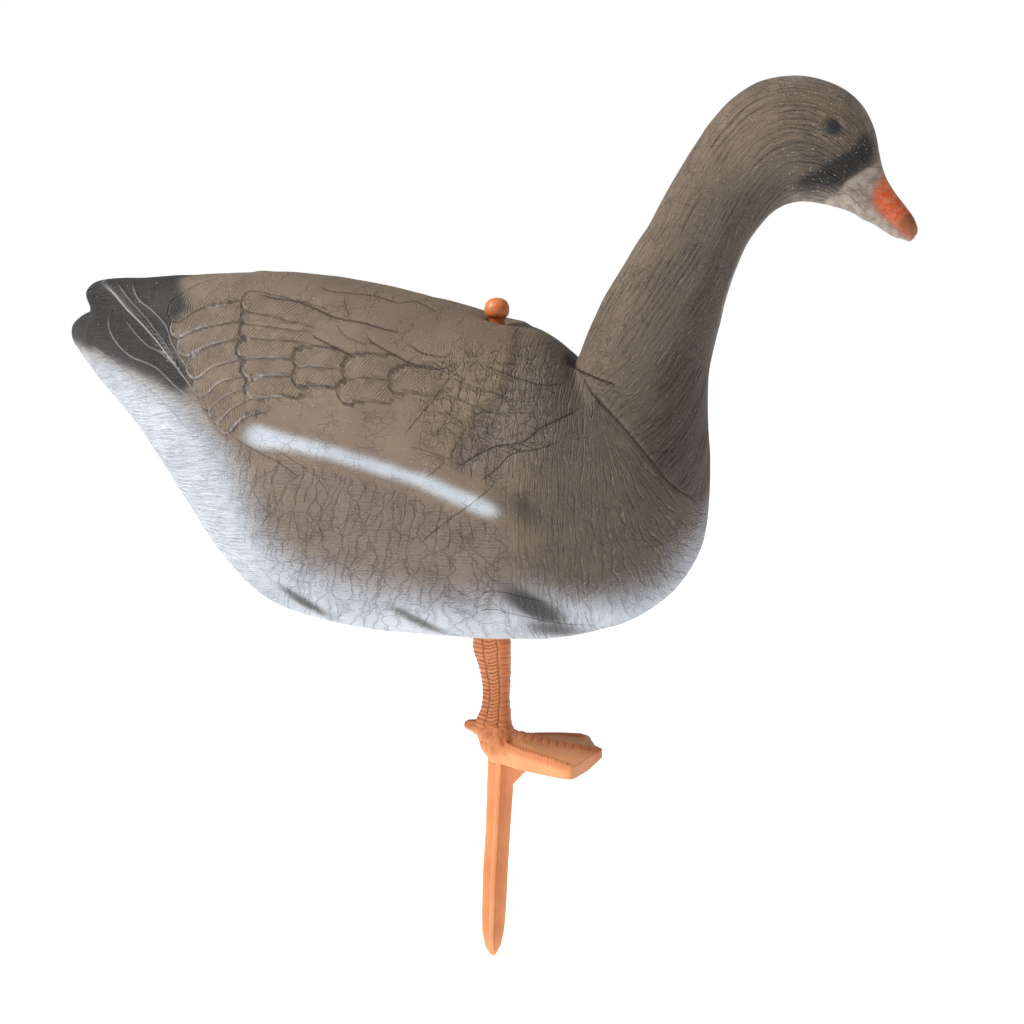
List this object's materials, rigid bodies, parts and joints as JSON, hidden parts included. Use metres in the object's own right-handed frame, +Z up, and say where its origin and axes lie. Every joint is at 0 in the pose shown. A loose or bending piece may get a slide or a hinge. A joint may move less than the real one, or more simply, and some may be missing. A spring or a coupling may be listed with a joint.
{
  "type": "goose decoy",
  "caption": "Full-body foam goose decoy standing on a plastic leg with a webbed foot and ground spike, held by a knobbed rod.",
  "frame": {"origin": "on the upright rod's axis, in the plane of the foot's flat sole, which rests on the ground once the spike is in the soil", "axes": "+Z up along the rod, +X forward towards the bill, -Y the bird's right side"},
  "size_m": [0.6325, 0.1942, 0.6709],
  "materials": {
    "painted_foam": "matte closed-cell foam with a textured skin, airbrushed taupe, black, white and orange",
    "rod_plastic": "satin moulded plastic",
    "stake_plastic": "satin moulded plastic with a darker wash on its scales"
  },
  "bodies": {
    "stake": {"leg_stake": "stake_plastic"},
    "rod": {"support_rod": "rod_plastic"},
    "bird": {"right_shell": "painted_foam", "left_shell": "painted_foam"}
  },
  "joints": [
    {"name": "rod_pull", "type": "slide", "parent": "stake", "child": "rod", "axis": [0, 0, 1], "range_m": [0, 0.27]},
    {"name": "body_swivel", "type": "hinge", "parent": "stake", "child": "bird", "pos_m": [0, 0, 0.098], "axis": [0, 0, 1], "continuous": true}
  ]
}
